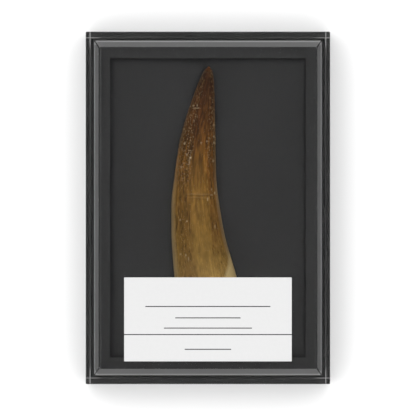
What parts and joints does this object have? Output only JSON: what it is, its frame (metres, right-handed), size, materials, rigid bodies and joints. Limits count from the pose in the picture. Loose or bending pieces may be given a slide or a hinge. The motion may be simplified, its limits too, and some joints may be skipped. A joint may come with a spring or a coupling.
{
  "type": "fossil plesiosaur tooth in a display case",
  "caption": "Curved fossil reptile tooth set in black foam inside a flat display case with a clear stepped lid and a plain label card.",
  "frame": {"origin": "centre of the case's flat back", "axes": "+Z out of the case's face, +Y along the case to the tooth's tip, +X to the right seen from the front"},
  "size_m": [0.0624, 0.09, 0.0211],
  "materials": {
    "black_plastic": "smooth moulded black",
    "black_foam": "fine closed-cell foam, matte",
    "black_card": "flat matte black",
    "tooth_enamel": "polished fossil enamel, reddish brown at the tip and golden tan at the root",
    "clear_plastic": "clear polished plastic with fine frosted lines along the rim",
    "white_card": "white card with thin dark rules"
  },
  "bodies": {
    "root": {"tray": "black_plastic", "foam_pad": "black_foam", "mount_card": "black_card", "tooth": "tooth_enamel", "lid": "clear_plastic", "label_card": "white_card"}
  },
  "joints": []
}
